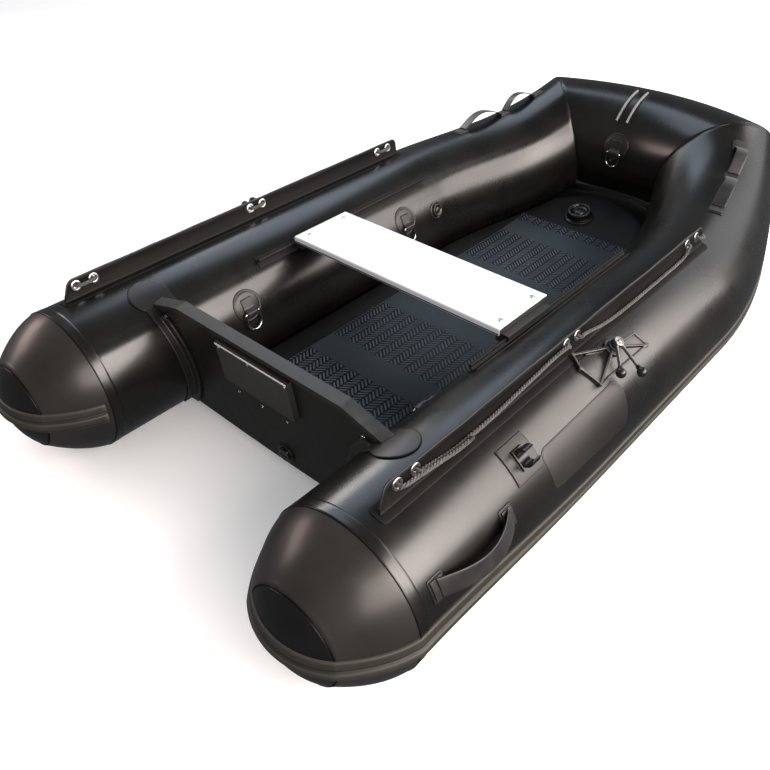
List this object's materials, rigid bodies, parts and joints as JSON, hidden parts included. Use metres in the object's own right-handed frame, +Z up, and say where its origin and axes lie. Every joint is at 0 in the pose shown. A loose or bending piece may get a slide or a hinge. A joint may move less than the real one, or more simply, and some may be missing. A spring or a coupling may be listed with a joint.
{
  "type": "inflatable boat",
  "caption": "Small inflatable tender with a U-shaped buoyancy tube, stern cones, plywood transom, sliding white thwart, rowlocks, lifelines and D-rings.",
  "frame": {"origin": "middle of the bounding box at ground level, under the two side tubes", "axes": "+X to the bow, +Y to port, +Z up"},
  "size_m": [2.4065, 1.3572, 0.4889],
  "materials": {
    "tube_fabric": "satin coated fabric",
    "cap_rubber": "smooth gloss",
    "strake_rubber": "satin moulded",
    "bottom_fabric": "satin coated fabric",
    "deck_fabric": "embossed non-slip",
    "transom_board": "black paint over plywood",
    "transom_rail": "grey moulded",
    "pad_plastic": "textured",
    "holder_rubber": "satin moulded",
    "fitting_plastic": "fine grain",
    "thwart_board": "white laminate over plywood",
    "thwart_channel": "satin extruded",
    "rail_plastic": "satin",
    "band_fabric": "woven tape",
    "grommet_metal": "polished",
    "rope": "twisted three-strand",
    "webbing": "woven",
    "rowlock_metal": "satin",
    "ring_metal": "polished stainless"
  },
  "bodies": {
    "hull": {"port_tube": "tube_fabric", "starboard_tube": "tube_fabric", "port_bow_quarter": "tube_fabric", "starboard_bow_quarter": "tube_fabric", "bow_tube": "tube_fabric", "port_stern_cone": "tube_fabric", "starboard_stern_cone": "tube_fabric", "port_end_cap": "cap_rubber", "starboard_end_cap": "cap_rubber", "port_rubbing_strake": "strake_rubber", "starboard_rubbing_strake": "strake_rubber", "hull_bottom": "bottom_fabric", "floor_deck": "deck_fabric", "transom_board": "transom_board", "transom_top_rail": "transom_rail", "outer_motor_pad": "pad_plastic", "inner_motor_pad": "pad_plastic", "port_transom_holder": "holder_rubber", "starboard_transom_holder": "holder_rubber", "drain_valve": "fitting_plastic", "port_thwart_rail": "rail_plastic", "starboard_thwart_rail": "rail_plastic", "port_lifeline_band": "band_fabric", "starboard_lifeline_band": "band_fabric", "port_grommets": "grommet_metal", "starboard_grommets": "grommet_metal", "port_lifeline": "rope", "starboard_lifeline": "rope", "port_rowlock_base": "fitting_plastic", "starboard_rowlock_base": "fitting_plastic", "port_oar_clip": "fitting_plastic", "starboard_oar_clip": "fitting_plastic", "port_carry_handle": "webbing", "starboard_carry_handle": "webbing", "port_bow_handle": "webbing", "starboard_bow_handle": "webbing", "port_ring_patches": "tube_fabric", "starboard_ring_patches": "tube_fabric", "bow_ring_patch": "tube_fabric", "tow_ring_patch": "tube_fabric", "port_air_valve": "fitting_plastic", "starboard_air_valve": "fitting_plastic", "deck_valve": "fitting_plastic", "port_side_patch": "tube_fabric", "starboard_side_patch": "tube_fabric", "anchor_line_guide": "strake_rubber"},
    "thwart": {"thwart_board": "thwart_board", "thwart_channels": "thwart_channel"},
    "port_rowlock": {"port_rowlock": "rowlock_metal"},
    "starboard_rowlock": {"starboard_rowlock": "rowlock_metal"},
    "port_aft_ring": {"port_aft_ring": "ring_metal"},
    "port_mid_ring": {"port_mid_ring": "ring_metal"},
    "starboard_aft_ring": {"starboard_aft_ring": "ring_metal"},
    "starboard_mid_ring": {"starboard_mid_ring": "ring_metal"},
    "bow_inner_ring": {"bow_inner_ring": "ring_metal"},
    "tow_ring": {"tow_ring": "ring_metal"}
  },
  "joints": [
    {"name": "thwart_slide", "type": "slide", "parent": "hull", "child": "thwart", "axis": [1, 0, 0], "range_m": [-0.105, 0.36]},
    {"name": "port_rowlock_swivel", "type": "hinge", "parent": "hull", "child": "port_rowlock", "pos_m": [-0.24977, 0.56707, 0.36766], "axis": [0, 0.454, 0.891], "range_deg": [-100, 40]},
    {"name": "starboard_rowlock_swivel", "type": "hinge", "parent": "hull", "child": "starboard_rowlock", "pos_m": [-0.24977, -0.56707, 0.36766], "axis": [0, -0.454, 0.891], "range_deg": [-40, 100]},
    {"name": "port_aft_ring_pivot", "type": "hinge", "parent": "hull", "child": "port_aft_ring", "pos_m": [-0.58477, 0.28868, 0.24881], "axis": [-1, 0, 0], "range_deg": [0, 175]},
    {"name": "port_mid_ring_pivot", "type": "hinge", "parent": "hull", "child": "port_mid_ring", "pos_m": [0.05523, 0.28868, 0.24881], "axis": [-1, 0, 0], "range_deg": [0, 175]},
    {"name": "starboard_aft_ring_pivot", "type": "hinge", "parent": "hull", "child": "starboard_aft_ring", "pos_m": [-0.58477, -0.28868, 0.24881], "axis": [1, 0, 0], "range_deg": [0, 175]},
    {"name": "starboard_mid_ring_pivot", "type": "hinge", "parent": "hull", "child": "starboard_mid_ring", "pos_m": [0.05523, -0.28868, 0.24881], "axis": [1, 0, 0], "range_deg": [0, 175]},
    {"name": "bow_inner_ring_pivot", "type": "hinge", "parent": "hull", "child": "bow_inner_ring", "pos_m": [0.81381, 0.01846, 0.324], "axis": [-0.0382, 0.9993, 0], "range_deg": [0, 175]},
    {"name": "tow_ring_pivot", "type": "hinge", "parent": "hull", "child": "tow_ring", "pos_m": [1.16367, 0, 0.16839], "axis": [0, -1, 0], "range_deg": [-38, 130]}
  ]
}
